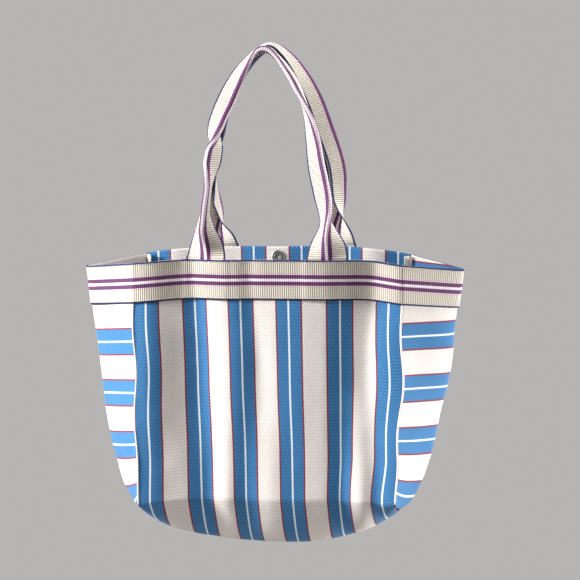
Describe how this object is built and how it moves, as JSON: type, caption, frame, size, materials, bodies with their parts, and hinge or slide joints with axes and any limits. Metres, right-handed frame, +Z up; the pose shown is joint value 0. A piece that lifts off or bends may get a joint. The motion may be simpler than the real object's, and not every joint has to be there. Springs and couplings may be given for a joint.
{
  "type": "beach bag",
  "caption": "Wide striped cloth beach bag, open at the top, with pleated side gussets, a sagging base, a webbing rim band, two folded webbing handles and a magnetic snap.",
  "frame": {"origin": "the hang point, at the middle of the undersides of both handle loops, where a hook, peg or shoulder holds the bag up", "axes": "+Z up, X across the bag's width, -Y out of the front panel"},
  "size_m": [0.5694, 0.1646, 0.7393],
  "materials": {
    "striped_cloth": "matt woven cotton, blue and cream stripes with fine red and white lines",
    "webbing": "matt ribbed webbing, cream with purple lines and navy edges",
    "binding_tape": "matt tape",
    "snap_metal": "satin nickel",
    "magnet": "dark sintered magnet"
  },
  "bodies": {
    "bag": {"main_panel": "striped_cloth", "gusset_left": "striped_cloth", "gusset_right": "striped_cloth", "rim_band": "webbing", "seam_binding_left": "binding_tape", "seam_binding_right": "binding_tape", "strap_end_front_left": "webbing", "strap_end_front_right": "webbing", "strap_end_back_left": "webbing", "strap_end_back_right": "webbing", "snap_cover": "snap_metal", "snap_magnet": "magnet", "snap_stud": "snap_metal", "snap_washer_front": "snap_metal", "snap_washer_back": "snap_metal"},
    "front_handle": {"front_handle": "webbing"},
    "back_handle": {"back_handle": "webbing"}
  },
  "joints": [
    {"name": "front_handle_swing", "type": "hinge", "parent": "bag", "child": "front_handle", "pos_m": [0, -0.0658, -0.3], "axis": [1, 0, 0], "range_deg": [0, 170]},
    {"name": "back_handle_swing", "type": "hinge", "parent": "bag", "child": "back_handle", "pos_m": [0, 0.0658, -0.3], "axis": [-1, 0, 0], "range_deg": [0, 170]}
  ]
}
